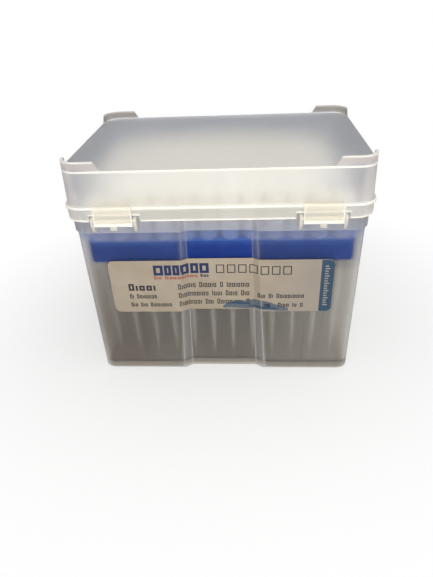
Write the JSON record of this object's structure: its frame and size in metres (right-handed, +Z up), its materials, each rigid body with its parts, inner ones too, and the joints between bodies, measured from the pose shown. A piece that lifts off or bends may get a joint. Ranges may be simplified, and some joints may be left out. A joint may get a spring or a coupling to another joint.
{
  "type": "box of pipette tips",
  "caption": "Hinged translucent storage box with corner stacking ribs and two front latches, holding filter pipette tips on a blue rack plate, with a front label.",
  "frame": {"origin": "middle of the foot of the box, on the surface that it stands on, midway between the front face of the latches and the back face of the hinge knuckles", "axes": "+X along the long front wall to its right end, +Y from the labelled front to the hinge side, +Z up"},
  "size_m": [0.1218, 0.0878, 0.1013],
  "materials": {
    "clear_base": "natural polypropylene, translucent, fine frosted inside and semi-gloss outside",
    "clear_lid": "natural polypropylene, translucent and milky, semi-gloss",
    "clear_latch": "natural polypropylene, thicker and milkier",
    "rack_blue": "solid blue polypropylene, satin",
    "tip_plastic": "clear natural polypropylene, semi-gloss",
    "label_paper": "cream coated paper with plain printed bars"
  },
  "bodies": {
    "base": {"base_tub": "clear_base", "rack_plate": "rack_blue", "label": "label_paper", "tips_column_01": "tip_plastic", "tips_column_02": "tip_plastic", "tips_column_03": "tip_plastic", "tips_column_04": "tip_plastic", "tips_column_05": "tip_plastic", "tips_column_06": "tip_plastic", "tips_column_07": "tip_plastic", "tips_column_08": "tip_plastic", "tips_column_09": "tip_plastic", "tips_column_10": "tip_plastic", "tips_column_11": "tip_plastic", "tips_column_12": "tip_plastic"},
    "lid": {"lid": "clear_lid"},
    "latch_left": {"latch_left": "clear_latch"},
    "latch_right": {"latch_right": "clear_latch"}
  },
  "joints": [
    {"name": "lid_hinge", "type": "hinge", "parent": "base", "child": "lid", "pos_m": [0, 0.0419, 0.0785], "axis": [-1, 0, 0], "range_deg": [0, 105]},
    {"name": "latch_left_flap", "type": "hinge", "parent": "lid", "child": "latch_left", "pos_m": [-0.0402, -0.04202, 0.0847], "axis": [-1, 0, 0], "range_deg": [0, 90]},
    {"name": "latch_right_flap", "type": "hinge", "parent": "lid", "child": "latch_right", "pos_m": [0.0402, -0.04202, 0.0847], "axis": [-1, 0, 0], "range_deg": [0, 90]}
  ]
}
